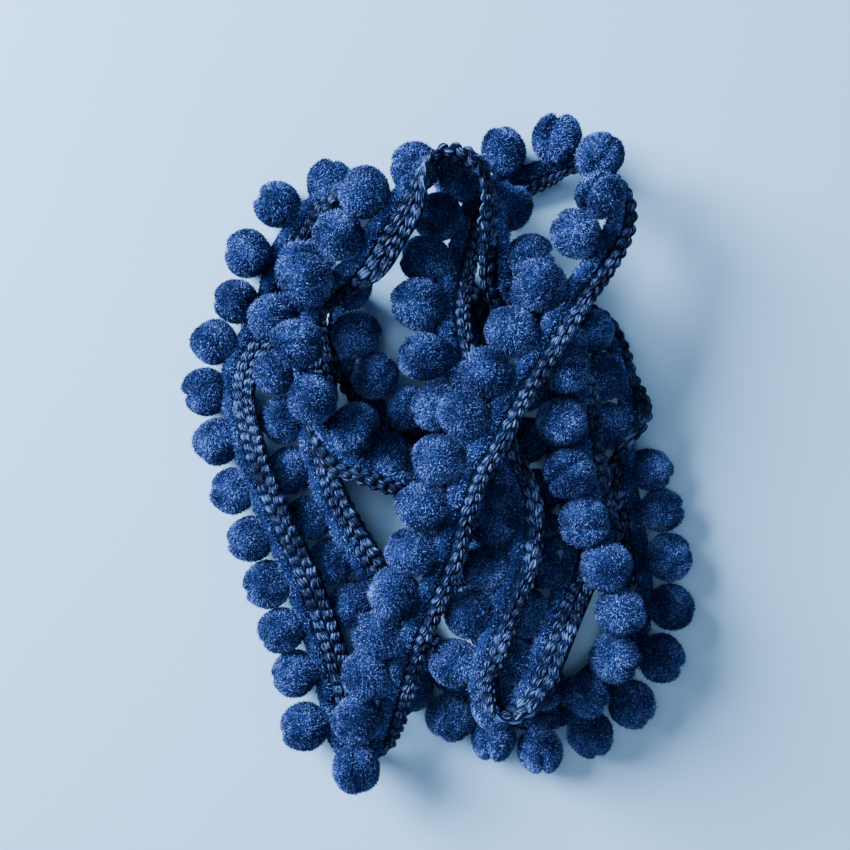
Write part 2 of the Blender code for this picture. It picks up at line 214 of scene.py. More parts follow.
def smooth_row(rows, share):
    """The row at share of the way from rows[1] to rows[2], on a smooth curve through all four rows."""
    before, start, end, after = rows
    return 0.5 * (
        2 * start
        + (end - before) * share
        + (2 * before - 5 * start + 4 * end - after) * share**2
        + (3 * start - before - 3 * end + after) * share**3
    )


def lengths_along(points):
    """The length along a line of points, from its first point to each."""
    return np.concatenate([[0.0], np.cumsum(np.linalg.norm(np.diff(points, axis=0), axis=1))])


def plan_stations():
    """Evenly spaced rows of x, y, height, lean, pitch, fold and pass, and their lengths along the plan."""
    rows = np.array(
        [
            row + (pitch, fold, number)
            for number, (_, pitch, fold, table) in enumerate(PASSES)
            for row in table
        ],
        float,
    )
    padded = np.vstack([2 * rows[0] - rows[1], rows, 2 * rows[-1] - rows[-2]])
    fine = [
        smooth_row(padded[first : first + 4], share)
        for first in range(len(rows) - 1)
        for share in np.arange(0, 1, CURVE_STEP)
    ]
    fine = np.array(fine + [rows[-1]])
    length = lengths_along(fine[:, :2])
    even = np.linspace(0, length[-1], round(length[-1] / STATION_STEP) + 1)
    return np.column_stack([np.interp(even, length, column) for column in fine.T]), even


def outward(places, lean):
    """The unit direction from the tape to the pompoms at each station."""
    ahead = np.gradient(places[:, :2], axis=0)
    ahead /= np.linalg.norm(ahead, axis=1)[:, None]
    left = np.column_stack([-ahead[:, 1], ahead[:, 0], np.zeros(len(ahead))])
    angle = np.radians(lean)[:, None]
    return left * np.cos(angle) + np.array([0.0, 0.0, 1.0]) * np.sin(angle)


def neighbour_mean(values):
    """The mean of each row and its two neighbours."""
    padded = np.pad(values, ((1, 1), (0, 0)), mode="edge")
    return (padded[:-2] + padded[1:-1] + padded[2:]) / 3


def near_pairs(balls, radii, arc, margin):
    """The pairs of balls on separate stretches that lie within margin of touching."""
    distance = np.linalg.norm(balls[:, None] - balls[None, :], axis=2)
    near = distance < radii[:, None] + radii[None, :] + margin
    near &= np.abs(arc[:, None] - arc[None, :]) > SAME_STRETCH
    return np.nonzero(np.triu(near))


def eased_route(stations, arc):
    """The places of the chenille edge, eased apart where two stretches would touch, and its way outwards."""
    direction = outward(stations, stations[:, 3])
    count = len(stations)
    start = stations[:, :3]
    places = start.copy()
    fold = stations[:, 5].clip(0.0, 1.0)
    balls = np.array(SECTION_BALLS)[:, :, None]
    reaches = balls[:, 0] + fold * (balls[:, 2] - balls[:, 0])
    sizes = balls[:, 1] + fold * (balls[:, 3] - balls[:, 1])
    out, radii = reaches.ravel(), sizes.ravel()
    owner = np.tile(np.arange(count), len(SECTION_BALLS))
    lowest = np.max(sizes - SINK - reaches * direction[:, 2], axis=0)
    for turn in range(EASE_ROUNDS):
        balls = places[owner] + out[:, None] * direction[owner]
        if turn % SEARCH_ROUNDS == 0:
            first, second = near_pairs(balls, radii, arc[owner], SEARCH_MARGIN)
        between = balls[first] - balls[second]
        distance = np.maximum(np.linalg.norm(between, axis=1), 1e-6)
        short = radii[first] + radii[second] + EASE_GAP - distance
        touching = short > 0
        push = (between / distance[:, None] * EASE_GIVE)[touching] * (0.5 * short[touching])[:, None]
        move = np.zeros((count, 3))
        pushes = np.zeros(count)
        for side, way in ((first, 1), (second, -1)):
            np.add.at(move, owner[side[touching]], way * push)
            np.add.at(pushes, owner[side[touching]], 1)
        move /= np.maximum(pushes, 1)[:, None] ** PUSH_SHARING
        places += PUSH * neighbour_mean(move)
        if turn < EASE_ROUNDS - EASE_SETTLE:
            places = start + PUSH_KEPT * neighbour_mean(places - start)
        places[:, 2] = np.maximum(places[:, 2], lowest)
    return places, direction


class Route:
    """The settled line of the chenille edge: places, outward directions, and sideways directions."""

    def __init__(self):
        stations, arc = plan_stations()
        self.places, self.out = eased_route(stations, arc)
        ahead = np.gradient(self.places, axis=0)
        self.ahead = ahead / np.linalg.norm(ahead, axis=1)[:, None]
        across = np.cross(self.ahead, self.out)
        self.up = across / np.linalg.norm(across, axis=1)[:, None]
        self.length = lengths_along(self.places)
        pitch = stations[:, 4]
        steps = np.diff(self.length) * 2 / (pitch[1:] + pitch[:-1])
        self.phase = np.concatenate([[0.0], np.cumsum(steps)])
        self.fold = stations[:, 5].clip(0.0, 1.0)
        self.passes = stations[:, 6]
        self.rings = self.ring_stations()

    def read(self, lengths):
        """Place, ahead, out and up at lengths along the trim."""
        found = []
        for values in (self.places, self.ahead, self.out, self.up):
            found.append(np.column_stack([np.interp(lengths, self.length, column) for column in values.T]))
        place, *directions = found
        return [place] + [way / np.linalg.norm(way, axis=1)[:, None] for way in directions]

    def pompom_lengths(self):
        """Where along the trim each pompom is rooted."""
        count = int(self.phase[-1])
        return np.interp(np.arange(count) + 0.5, self.phase, self.length)

    def ring_stations(self):
        """The stations with a ring of the solids, close together only where the trim turns or twists."""
        last = 0
        kept = [0]
        for index in range(1, len(self.length) - 1):
            turned = max(
                math.degrees(math.acos(min(1.0, float(ways[last] @ ways[index]))))
                for ways in (self.ahead, self.out)
            )
            if turned >= RING_TURN or self.length[index] - self.length[last] >= RING_STEP:
                kept.append(index)
                last = index
        return kept + [len(self.length) - 1]

    def tape_points(self):
        """The corners of the tape's solid: its section, open or folded, set at each ring."""
        place, out, up = [values[self.rings] for values in (self.places, self.out, self.up)]
        profile, folded = np.array(tape_profile()), np.array(rope_profile())
        sections = profile + self.fold[self.rings][:, None, None] * (folded - profile)
        reach, rise = sections[:, :, :1], sections[:, :, 1:]
        return (place[:, None] + reach * out[:, None] + rise * up[:, None]).reshape(-1, 3)


def pompom_sizes(centres, ahead, out, up):
    """Half the size of each pompom along, across and through the trim, less where its neighbour crowds it."""
    sizes = np.tile([POMPOM_ALONG, POMPOM_ACROSS, POMPOM_DEEP], (len(centres), 1))
    for index in range(len(centres) - 1):
        between = centres[index + 1] - centres[index]
        room = np.linalg.norm(between) - GAP
        way = between / np.linalg.norm(between)
        pair = slice(index, index + 2)
        sizes[pair, 0] = np.minimum(sizes[pair, 0], room / 2)
        facing = np.stack([ahead[pair] @ way, out[pair] @ way, up[pair] @ way], axis=1)
        reach = np.linalg.norm(sizes[pair] * facing, axis=1).sum()
        sizes[pair] *= min(1.0, room / reach)
    return sizes


def both_faces(upper):
    """The whole section from the points of its upper face, the last of them on the far edge."""
    return upper + [(reach, -rise) for reach, rise in upper[-2::-1]]


def tape_profile():
    """Section of the open tape: two ribs of chain stitch on each face, with a valley between them."""
    near_rib, valley, far_rib = TAPE_RIBS
    return both_faces([
        (-TAPE_START, TAPE_VALLEY / 2),
        (-TAPE_START - near_rib * TAPE_WIDE, TAPE_THICK / 2),
        (-TAPE_START - valley * TAPE_WIDE, TAPE_VALLEY / 2),
        (-TAPE_START - far_rib * TAPE_WIDE, TAPE_THICK / 2),
        (-TAPE_START - TAPE_WIDE, 0.0),
    ])


def rope_profile():
    """Section of the tape where it is folded into a rope, beside its thin neck."""
    neck_end = -TAPE_START - NECK_WIDE
    return both_faces([
        (-TAPE_START, NECK_THICK / 2),
        (neck_end, NECK_THICK / 2),
        (neck_end - ROPE_SHOULDER[0] * ROPE_WIDE, ROPE_SHOULDER[1] * ROPE_THICK),
        (neck_end - ROPE_CROWN * ROPE_WIDE, ROPE_THICK / 2),
        (neck_end - ROPE_WIDE, 0.0),
    ])


# Looks

# The route read finely: the distance between its points, and how often they are smoothed
FINE_STEP = 0.6
FINE_ROUNDS = 6
# The lowest that any piece comes
FLOOR_GAP = 0.12

# The loop of the tape's section, from its upper corner beside the chenille edge, round the far edge and
# back. Where it lies open: its near end, half its thickness, and how far its far edge rounds
LOOP_LONG = 11.4
OPEN_NEAR = -2.6
OPEN_HALF = 0.4
OPEN_TURN = 0.6
# Where it is rolled into a rope: its middle, its radius, the angle where the roll starts, in radians, and
# its height as a share of its width
ROPE_MIDDLE = -4.6
ROPE_CORE = 1.0
ROPE_START = 0.42
ROPE_FLAT = 0.92

# Ground of the tape, under its stitches and the chenille edge
GROUND_NEAR = 1.0
GROUND_HALF = 0.35
GROUND_OVERLAP = 0.2
GROUND_STEP = 1.5
GROUND_SHARES = (0.0, 0.12, 0.25, 0.38, 0.5, 0.62, 0.75, 0.88, 1.0)
# What the ground and the band leave free at each end of the trim, and the pile there
GROUND_END = 0.3
CORE_END = 0.2
PILE_END = 0.3

# Stitches: columns of bumps round the loop, each bump of a few short grains of yarn side by side. Lags and
# the start are in pitches
COLUMNS = (1.5, 4.25, 7.15, 9.9)
COLUMN_LAGS = (0.0, 0.4, 0.9, 0.5)
STITCH_START = 0.6
STITCH_PITCH = 2.62
GRAINS = (-0.8, 0.0, 0.8)
GRAINS_MIDDLE = np.array(GRAINS) == 0.0
GRAIN_LONG = 2.5
GRAIN_HALF = 0.5
GRAIN_RISE = 0.52
GRAIN_SLANT = 0.5
# How far bumps and grains stray from their places, and from the size and slant above
BUMP_STRAY = 0.1
BUMP_SIZES = (0.92, 1.1)
GRAIN_STRAY_ALONG = 0.07
GRAIN_STRAY_ACROSS = 0.05
GRAIN_SIZES = (0.88, 1.12)
GRAIN_RISES = (0.85, 1.2)
SLANT_STRAY = 0.12
# The rise of the middle grain and of those beside it
MIDDLE_RISE = 1.12
SIDE_RISE = 0.9
# A grain's form: rings from end to end, the angles of its points in degrees, its width at its very ends,
# how fast it widens and rises from them, how proud it starts, how round it is, and how deep its sides go
GRAIN_RINGS = 5
GRAIN_ENDS = (0.03, 0.97)
GRAIN_ARC = (-35.0, 27.0, 90.0, 153.0, 215.0)
GRAIN_TIP = 0.3
WIDEN_POWER = 0.6
RISE_POWER = 0.8
GRAIN_PROUD = 0.1
GRAIN_ROUND = 0.85
GRAIN_DEEPEST = -0.1
# How many turns of the yarn's texture the grains are shifted by
TEXTURE_TURNS = 5

# Chenille edge: a low fuzzy band between the stitches and the pompoms
BAND_REACH = -0.9
BAND_HALF = 1.4
BAND_FLAT = 0.85
# Waves of its thickness: height, radians a millimetre, and lag
BAND_WAVES = ((0.08, 2.1, 0), (0.06, 3.7, 1))
CORE_SIDES = 8
CORE_STEP = 0.8
LUMP_HALF = 0.35
LUMP_REACH = 1.9
EDGE_BLADES = 100000
# How deep the pile is rooted in the band
EDGE_ROOTING = 0.05

# Pompoms: each sits a little further out than its solid, and narrows towards its root. Its size is its
# solid's, or the least share of a whole one, times these: across the trim by the fold, the others at random
BALL_OUT = 0.45
BALL_ACROSS = (1.06, 1.15)
BALL_ALONG = (1.0, 1.12)
BALL_DEEP = (1.04, 1.14)
BALL_LEAST = 0.9
ROOT_TAPER = 0.3
BALL_SPLITS = 4
# The size of the ball under the pile, and of the form that the pile is rooted on
BALL_SHARE = 0.93
ROOT_SHARE = BALL_SHARE - 0.01
# Blades a pompom, how far they stray from even spacing, and their widths, lengths and lean
PILE_BLADES = 4600
PILE_STRAY = 0.02
BLADE_HALF = 0.17
BLADE_WIDTHS = (0.75, 1.25)
BLADE_LONG = (0.35, 0.62)
BLADE_LEAN = 0.8
# The share of blades that stand longer than the rest, and by how much
STRAGGLERS = 0.05
STRAGGLER_LONG = 1.6
# The crease between a pompom's two lobes: depth and its range, width, spread of its turn, its bend, and
# what is left of it on the side of the root
CREASE_DEPTH = 0.24
CREASE_DEPTHS = (0.35, 1.25)
CREASE_WIDE = 0.17
CREASE_TURN = 0.5
CREASE_BEND = 0.12
CREASE_WAVE = 2.2
CREASE_ROOT = 0.25
# Soft lumps: height, and waves along two of a pompom's ways
LUMP_BROAD = (0.03, 3.1, 2.7)
LUMP_SMALL = (0.022, 5.3, 4.9)

# Seeds of the random draws
SEED_UPPER = 11
SEED_LOWER = 12
SEED_EDGE = 31
SEED_POMPOMS = 100

# Yarns: dark, middle and light colour of the flecks, their scale, roughness, fibre bump and sheen
PILE_YARN = ((0.0015, 0.0035, 0.03), (0.015, 0.026, 0.125), (0.18, 0.3, 0.82), 3000.0, 0.85, 0.4, 0.2)
# The roots' yarn is painted shade: the pile's yarn darkened for the shade deep among the blades and under the
# chenille edge's pile
ROOT_PAINTED_SHADE = ((0.001, 0.003, 0.022), (0.004, 0.014, 0.08), (0.015, 0.045, 0.2), 2600.0, 0.9, 0.8, 0.2)
STITCH_YARN = ((0.0006, 0.003, 0.02), (0.0016, 0.0058, 0.034), (0.12, 0.21, 0.54), 1.0, 0.55, 0.6, 0.05)
# The ground's yarn is painted shade: the stitches' yarn darkened for the shade in the gaps between the bumps
GROUND_PAINTED_SHADE = ((0.0004, 0.0025, 0.015), (0.0008, 0.005, 0.03), (0.002, 0.012, 0.06), 1500.0, 0.9, 0.5, 0.02)
# Where the three colours come on the ramp
YARN_STOPS = (0.54, 0.68, 0.82)
SHEEN_TINT = (0.2, 0.38, 0.9)
SHEEN_ROUGH = 0.4
YARN_SPECULAR = 0.12
BROAD_SCALE = 160.0
BROAD_SHARE = 0.35
FIBRE_BUMP = 0.0002
# Filaments of the stitches, on the yarn's own texture: stretch and turn of their flecks and of their strands
STREAK_STRETCH, STREAK_TURN = (6.0, 1.6, 1.0), (0.0, 0.0, 0.25)
STRAND_STRETCH, STRAND_TURN = (1.0, 0.35, 1.0), (0.0, 0.0, 0.5)
STRAND_SCALE = 2.3
STRAND_BUMP = 0.0003

# Stage: floor, lights with their spot, size and power, room light, and camera
FLOOR_HALF = 3.0
FLOOR_COLOUR = (0.34, 0.61, 1.0)
FLOOR_ROUGH = 0.7
LIGHTS = (
    ("window", (-0.6, 0.32, 0.45), 0.42, 29.0),
    ("above", (-0.2, 0.1, 0.9), 0.5, 2.2),
    ("fill", (0.5, -0.35, 0.6), 0.6, 2.2),
)
LIGHT_COLOUR = (0.82, 0.93, 1.0)
ROOM_COLOUR = (0.4, 0.6, 1.0)
ROOM_STRENGTH = 0.05
CAMERA_HIGH = 0.275
CAMERA_LENS = 48.5
CAMERA_SENSOR = 36.0
CAMERA_NEAREST = 0.01


class FineLine:
    """The route, smoothed and read at any length, reach outwards and rise, as points in millimetres."""

    def __init__(self, route):
        self.length = np.arange(0.0, route.length[-1], FINE_STEP)
        place, _, out, up = route.read(self.length)
        fold = np.interp(self.length, route.length, route.fold)[:, None]
        for _ in range(FINE_ROUNDS):
            place, out, up, fold = [neighbour_mean(values) for values in (place, out, up, fold)]
        self.place = place
        self.out = out / np.linalg.norm(out, axis=1)[:, None]
        self.up = up / np.linalg.norm(up, axis=1)[:, None]
        self.fold = fold[:, 0]
        self.move = np.zeros(3)

    def read(self, values, lengths):
        """The values at lengths along the trim."""
        return np.stack([np.interp(lengths, self.length, column) for column in values.T], axis=-1)

    def points(self, lengths, reach, rise):
        """Points at lengths along the trim, by their reach outwards and their rise."""
        lengths = np.asarray(lengths, float)
        found = self.read(self.place, lengths)
        found = found + np.asarray(reach)[..., None] * self.read(self.out, lengths)
        found = found + np.asarray(rise)[..., None] * self.read(self.up, lengths)
        return found + self.move

    def loop_points(self, lengths, around, proud):
        """Points on the tape, around its loop and proud of it, open or rolled as the fold says there."""
        fold = np.interp(lengths, self.length, self.fold)
        half = LOOP_LONG / 2
        side = np.clip((half - around) / OPEN_TURN, -1.0, 1.0)
        open_reach = OPEN_NEAR - half + np.abs(half - around)
        open_rise = side * (OPEN_HALF + proud)
        angle = ROPE_START + 2 * (math.pi - ROPE_START) * around / LOOP_LONG
        rolled_reach = ROPE_MIDDLE + (ROPE_CORE + proud) * np.cos(angle)
        rolled_rise = ROPE_FLAT * (ROPE_CORE + proud) * np.sin(angle)
        reach = open_reach + fold * (rolled_reach - open_reach)
        rise = open_rise + fold * (rolled_rise - open_rise)
        return self.points(lengths, reach, rise)


def link(name, data):
    """A new object of the data, in the scene."""
    item = bpy.data.objects.new(name, data)
    bpy.context.scene.collection.objects.link(item)
    return item


def mesh_object(name, points, faces, material, smooth=False, yarn_place=None):
    """A mesh object from points in millimetres and faces, kept off the floor, with its places on the yarn."""
    points = np.asarray(points, float).reshape(-1, 3)
    points[:, 2] = np.maximum(points[:, 2], FLOOR_GAP)
    mesh = bpy.data.meshes.new(name)
    mesh.from_pydata((points * MM).tolist(), [], np.asarray(faces).reshape(len(faces), -1).tolist())
    if smooth:
        mesh.polygons.foreach_set("use_smooth", np.ones(len(mesh.polygons), bool))
    if yarn_place is not None:
        layer = mesh.uv_layers.new(name="yarn")
        corner = np.zeros(len(mesh.loops), int)
        mesh.loops.foreach_get("vertex_index", corner)
        layer.data.foreach_set("uv", yarn_place.reshape(-1, 2)[corner].ravel())
    mesh.materials.append(material)
    mesh.validate()
    return link(name, mesh)


def tube_faces(rings, sides):
    """Triangles of a tube of rings by sides vertices, and of fans onto two tips that follow them."""
    faces = []
    for ring in range(rings - 1):
        for side in range(sides):
            a = ring * sides + side
            b = ring * sides + (side + 1) % sides
            faces += [(a, b, b + sides), (a, b + sides, a + sides)]
    start, end = rings * sides, rings * sides + 1
    last = (rings - 1) * sides
    for side in range(sides):
        following = (side + 1) % sides
        faces += [(start, following, side), (end, last + side, last + following)]
    return np.array(faces)


def strip_faces(rings, sides):
    """Triangles of an open strip of rings by sides vertices."""
    faces = []
    for ring in range(rings - 1):
        for side in range(sides - 1):
            a = ring * sides + side
            faces += [(a, a + 1, a + 1 + sides), (a, a + 1 + sides, a + sides)]
    return np.array(faces)


def ground(line, material):
    """The thin ground of the tape, one closed sheet, rolled where the tape is folded; its darker yarn is
    painted shade.
    """
    end = line.length[-1] - GROUND_END
    lengths = np.append(np.arange(GROUND_END, end, GROUND_STEP), end)
    column = np.ones(len(lengths))
    under = OPEN_NEAR + GROUND_OVERLAP

    def corner(reach, rise):
        return line.points(lengths, reach * column, rise * column)

    rows = [corner(GROUND_NEAR, 0.0), corner(0.0, GROUND_HALF), corner(under, GROUND_HALF)]
    rows += [line.loop_points(lengths, share * LOOP_LONG * column, 0.0) for share in GROUND_SHARES]
    rows += [corner(under, -GROUND_HALF), corner(0.0, -GROUND_HALF)]
    points = np.stack(rows, axis=1)
    sides = len(rows)
    points = np.vstack([points.reshape(-1, 3), points[0].mean(axis=0), points[-1].mean(axis=0)])
    return mesh_object("tape_ground_painted_shade", points, tube_faces(len(lengths), sides), material, smooth=True)


def stitches(line, name, columns, material, seed):
    """Columns of stitches: arched grains of yarn, side by side in each bump, with gaps between bumps where
    the ground's painted shade shows.
    """
    random = np.random.default_rng(seed)
    count = int((line.length[-1] - 2 * GRAIN_LONG) / STITCH_PITCH)
    stitch, column, place = np.meshgrid(
        np.arange(count), columns, np.arange(len(GRAINS)), indexing="ij"
    )
    bump = (stitch * len(COLUMNS) + column).ravel()
    stitch, column, place = stitch.ravel(), column.ravel(), place.ravel()
    total = len(stitch)
    # Each grain's middle along the trim and around the loop, half its width, its rise and its slant
    bump_shift = random.normal(0, BUMP_STRAY, bump.max() + 1)[bump]
    bump_size = random.uniform(*BUMP_SIZES, bump.max() + 1)[bump]
    middle = (stitch + STITCH_START + np.array(COLUMN_LAGS)[column]) * STITCH_PITCH + bump_shift
    middle = middle + random.normal(0, GRAIN_STRAY_ALONG, total)
    centre = np.array(COLUMNS)[column] + np.array(GRAINS)[place] * bump_size
    centre = centre + random.normal(0, GRAIN_STRAY_ACROSS, total)
    half = GRAIN_HALF * random.uniform(*GRAIN_SIZES, total)
    arch = GRAIN_RISE * bump_size * random.uniform(*GRAIN_RISES, total)
    arch = arch * np.where(GRAINS_MIDDLE[place], MIDDLE_RISE, SIDE_RISE)
    slant = GRAIN_SLANT * np.where(column % 2 == 0, 1, -1) + random.normal(0, SLANT_STRAY, total)
    # Its rings of points, from end to end
    share = np.linspace(*GRAIN_ENDS, GRAIN_RINGS)
    angle = np.radians(GRAIN_ARC)
    wave = np.sin(math.pi * share)
    along = middle[:, None] + (share - 0.5) * GRAIN_LONG
    wide = half[:, None] * (GRAIN_TIP + (1 - GRAIN_TIP) * wave**WIDEN_POWER)
    over = GRAIN_PROUD + arch[:, None] * wave**RISE_POWER
    across = centre[:, None] + slant[:, None] * (share - 0.5)
    around = across[:, :, None] + wide[:, :, None] * np.cos(angle)
    proud = over[:, :, None] + GRAIN_ROUND * wide[:, :, None] * np.sin(angle)
    proud = np.maximum(proud, GRAIN_DEEPEST)
    points = line.loop_points(along[:, :, None] + 0 * around, around, proud).reshape(total, -1, 3)
    sides = len(angle)
    faces = strip_faces(GRAIN_RINGS, sides)[None] + GRAIN_RINGS * sides * np.arange(total)[:, None, None]
    yarn_place = np.zeros((total, GRAIN_RINGS * sides, 2))
    yarn_place[:, :, 0] = np.tile(np.arange(sides) / sides, GRAIN_RINGS)
    yarn_place[:, :, 1] = np.repeat(share, sides)
    yarn_place[:, :, 0] += random.uniform(0, TEXTURE_TURNS, total)[:, None]
    return mesh_object(name, points, faces.reshape(-1, 3), material, smooth=True, yarn_place=yarn_place)


def blade_points(base, normal, random):
    """Short blades of pile on base points, each one triangle turned its own way: two feet and a tip."""
    total = len(base)
    side = np.cross(normal, random.normal(size=(total, 3)))
    side /= np.linalg.norm(side, axis=1)[:, None]
    third = np.cross(normal, side)
    half = BLADE_HALF * random.uniform(*BLADE_WIDTHS, total)
    height = random.uniform(*BLADE_LONG, total)
    height = height * np.where(random.random(total) < STRAGGLERS, STRAGGLER_LONG, 1.0)
    lean = random.normal(0, BLADE_LEAN, (2, total)) * height
    tip = base + height[:, None] * normal + lean[0][:, None] * side + lean[1][:, None] * third
    return np.stack([base - half[:, None] * side, base + half[:, None] * side, tip], axis=1)


def blades(name, points, material):
    """One object of all the blades, a triangle each."""
    points = points.reshape(-1, 3)
    return mesh_object(name, points, np.arange(len(points)).reshape(-1, 3), material)


def edge_half(roots, lengths):
    """Half the thickness of the chenille edge, lumpy and fuller midway between pompoms."""
    middles = (roots[1:] + roots[:-1]) / 2
    nearest = np.abs(lengths[:, None] - middles[None, :]).min(axis=1)
    wave = sum(height * np.sin(lengths * often + lag) for height, often, lag in BAND_WAVES)
    return BAND_HALF * (1 + wave) + LUMP_HALF * np.exp(-((nearest / LUMP_REACH) ** 2))


def edge_core(line, roots, material):
    """The core of the chenille edge, a lumpy tube with closed ends."""
    lengths = np.arange(CORE_END, line.length[-1] - CORE_END, CORE_STEP)
    half = edge_half(roots, lengths)
    angle = np.arange(CORE_SIDES) * 2 * math.pi / CORE_SIDES
    reach = BAND_REACH + half[:, None] * np.cos(angle)
    rise = BAND_FLAT * half[:, None] * np.sin(angle)
    points = line.points(lengths[:, None] + 0 * reach, reach, rise)
    points = np.vstack([points.reshape(-1, 3), points[0].mean(axis=0), points[-1].mean(axis=0)])
    faces = tube_faces(len(lengths), CORE_SIDES)
    return mesh_object("edge_core", points, faces, material, smooth=True)


def edge_pile(line, roots, material):
    """The pile of the chenille edge, all round its core."""
    random = np.random.default_rng(SEED_EDGE)
    lengths = random.uniform(PILE_END, line.length[-1] - PILE_END, EDGE_BLADES)
    angle = random.uniform(0, 2 * math.pi, EDGE_BLADES)
    half = edge_half(roots, lengths) - EDGE_ROOTING
    inner = line.points(lengths, BAND_REACH + 0 * half, 0 * half)
    base = line.points(lengths, BAND_REACH + half * np.cos(angle), BAND_FLAT * half * np.sin(angle))
    normal = base - inner
    normal /= np.linalg.norm(normal, axis=1)[:, None]
    return blades("edge_pile", blade_points(base, normal, random), material)


def even_directions(count):
    """Directions spread evenly over a ball."""
    index = np.arange(count) + 0.5
    height = 1 - 2 * index / count
    angle = math.pi * (1 + math.sqrt(5)) * index
    flat = np.sqrt(1 - height**2)
    return np.column_stack([flat * np.cos(angle), flat * np.sin(angle), height])


def ball_template():
    """Directions and triangles of an even ball of radius 1."""
    bm = bmesh.new()
    bmesh.ops.create_icosphere(bm, subdivisions=BALL_SPLITS, radius=1.0)
    directions = np.array([vert.co[:] for vert in bm.verts])
    faces = np.array([[vert.index for vert in face.verts] for face in bm.faces])
    bm.free()
    return directions, faces


def lobed(directions, turn, depth, phase):
    """How far a pompom reaches in each direction: two lobes with a crease between them, and soft lumps."""
    along, out, deep = directions.T
    across = along * math.cos(turn) + deep * math.sin(turn)
    bend = CREASE_BEND * np.sin(CREASE_WAVE * out + phase[0])
    outer = CREASE_ROOT + (1 - CREASE_ROOT) * np.clip(out + 0.5, 0, 1)
    crease = depth * np.exp(-(((across - bend) / CREASE_WIDE) ** 2)) * outer
    height, first, second = LUMP_BROAD
    lumps = height * np.sin(first * along + phase[0]) * np.sin(second * out + phase[1])
    height, first, second = LUMP_SMALL
    lumps = lumps + height * np.sin(first * deep + phase[2]) * np.sin(second * along + phase[3])
    return 1 - crease + lumps


def tapered(directions, reach, size):
    """Points of a pompom from its reach in each direction, narrower towards its root."""
    taper = 1 - ROOT_TAPER * np.clip(-directions[:, 1], 0, 1) ** 2
    return directions * reach[:, None] * size * np.stack([taper, np.ones(len(taper)), taper], axis=1)


def squared(ahead, out):
    """Three ways at right angles to each other, the middle one outwards, so that a pompom isn't sheared."""
    out = out / np.linalg.norm(out)
    ahead = ahead - (ahead @ out) * out
    ahead = ahead / np.linalg.norm(ahead)
    return np.stack([ahead, out, np.cross(ahead, out)])


def pompom_pass(name, number, which, frames, sizes, template, materials):
    """The pompoms of one pass: a lobed ball each, covered with cut pile."""
    random = np.random.default_rng(SEED_POMPOMS + number)
    directions, ball_faces = template
    centres, ahead, out, fold = frames
    least = BALL_LEAST * np.array([POMPOM_ALONG, POMPOM_ACROSS, POMPOM_DEEP])
    ball_points, ball_index, pile_points = [], [], []
    for index in np.nonzero(which == number)[0]:
        basis = squared(ahead[index], out[index])
        turn = random.normal(0, CREASE_TURN)
        depth = CREASE_DEPTH * random.uniform(*CREASE_DEPTHS)
        phase = random.uniform(0, 2 * math.pi, 4)
        across = BALL_ACROSS[0] + fold[index] * (BALL_ACROSS[1] - BALL_ACROSS[0])
        larger = (random.uniform(*BALL_ALONG), across, random.uniform(*BALL_DEEP))
        size = np.maximum(sizes[index], least) * larger
        middle = centres[index] + BALL_OUT * out[index]
        ball = tapered(directions, BALL_SHARE * lobed(directions, turn, depth, phase), size)
        ball_index.append(ball_faces + len(directions) * len(ball_points))
        ball_points.append(middle + ball @ basis)
        spread = even_directions(PILE_BLADES) + random.normal(0, PILE_STRAY, (PILE_BLADES, 3))
        spread /= np.linalg.norm(spread, axis=1)[:, None]
        normal = spread / size
        normal /= np.linalg.norm(normal, axis=1)[:, None]
        roots = tapered(spread, ROOT_SHARE * lobed(spread, turn, depth, phase), size)
        tufts = blade_points(roots, normal, random)
        pile_points.append(middle + tufts.reshape(-1, 3) @ basis)
    # The balls under the pile take the painted shade of the roots, for the shade deep in the pile
    core, pile = materials
    ball_points, ball_index = np.vstack(ball_points), np.vstack(ball_index)
    return [
        mesh_object(name + "_balls", ball_points, ball_index, core, smooth=True),
        blades(name + "_pile", np.vstack(pile_points), pile),
    ]


# Materials


def node(tree, kind, **values):
    """A new node, its settings and its inputs set by name."""
    made = tree.nodes.new(kind)
    for key, value in values.items():
        if hasattr(made, key):
            setattr(made, key, value)
        else:
            made.inputs[key].default_value = value
    return made


